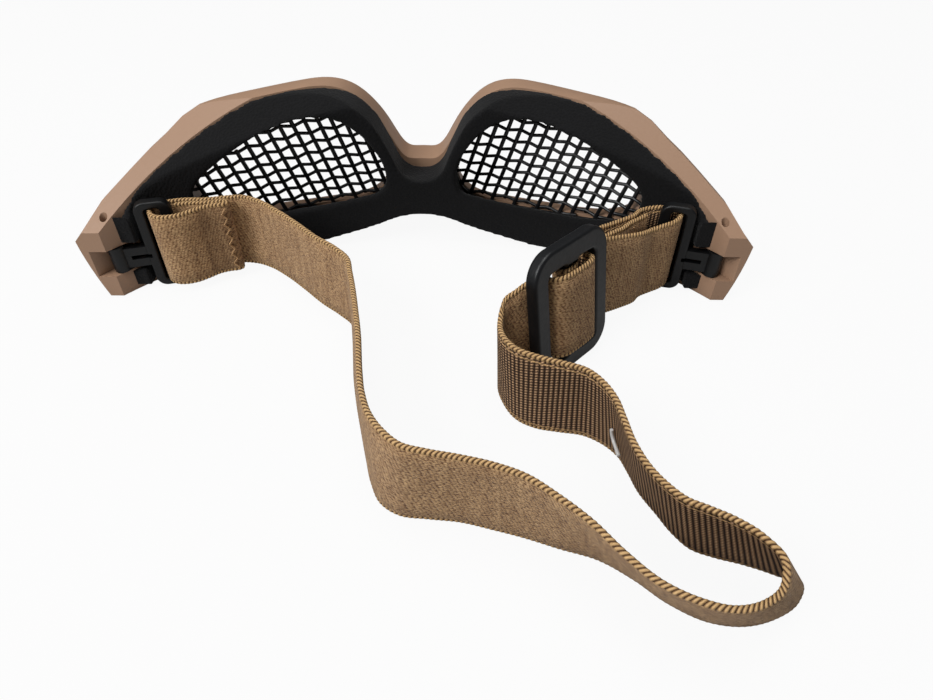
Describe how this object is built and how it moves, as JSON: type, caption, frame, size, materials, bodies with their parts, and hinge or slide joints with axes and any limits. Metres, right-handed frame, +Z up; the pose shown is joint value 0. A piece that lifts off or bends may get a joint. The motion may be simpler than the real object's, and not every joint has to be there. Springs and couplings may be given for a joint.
{
  "type": "mesh goggles",
  "caption": "Low-profile protective goggles: curved moulded frame, woven wire mesh lenses, foam face seal, and an elastic head strap on swinging side brackets with a slider.",
  "frame": {"origin": "on the table plane, in the frame's own plane of symmetry, at the middle of the whole part's depth", "axes": "+X towards the wearer's right temple, +Y the way the wearer looks, +Z up; the goggles stand on their lower edges with the strap lying behind them in -Y"},
  "size_m": [0.1646, 0.1391, 0.0419],
  "materials": {
    "frame_plastic": "matte",
    "face_foam": "matte",
    "mesh_steel": "matte",
    "retainer_plastic": "matte",
    "pin_steel": "satin",
    "bracket_plastic": "satin",
    "slider_plastic": "satin",
    "webbing": "matte",
    "thread": "matte",
    "clear_nylon": "gloss"
  },
  "bodies": {
    "frame": {"front_frame": "frame_plastic", "left_mesh_lens": "mesh_steel", "right_mesh_lens": "mesh_steel", "left_lens_retainer": "retainer_plastic", "right_lens_retainer": "retainer_plastic", "face_foam": "face_foam", "left_hinge_pin": "pin_steel", "right_hinge_pin": "pin_steel", "strap_main": "webbing", "strap_left_span": "webbing", "strap_right_span": "webbing", "tag_fastener": "clear_nylon"},
    "left_bracket": {"left_strap_bracket": "bracket_plastic", "strap_left_loop": "webbing", "left_loop_stitching": "thread"},
    "right_bracket": {"right_strap_bracket": "bracket_plastic", "strap_right_loop": "webbing"},
    "slider": {"tri_glide_slider": "slider_plastic", "strap_slider_weave": "webbing", "strap_slider_wrap": "webbing", "slider_loop_stitching": "thread"}
  },
  "joints": [
    {"name": "left_bracket_swing", "type": "hinge", "parent": "frame", "child": "left_bracket", "pos_m": [-0.0751, 0.0275, 0.00955], "axis": [0, 0, 1], "range_deg": [-90, 0], "deforming": ["strap_left_span"]},
    {"name": "right_bracket_swing", "type": "hinge", "parent": "frame", "child": "right_bracket", "pos_m": [0.0751, 0.0275, 0.00955], "axis": [0, 0, 1], "range_deg": [0, 90], "deforming": ["strap_right_span"]},
    {"name": "slider_travel", "type": "slide", "parent": "right_bracket", "child": "slider", "axis": [0.6947, 0.7193, 0], "range_m": [-0.012, 0.002], "deforming": ["strap_right_loop", "strap_right_span", "strap_slider_wrap", "strap_slider_weave"]}
  ]
}
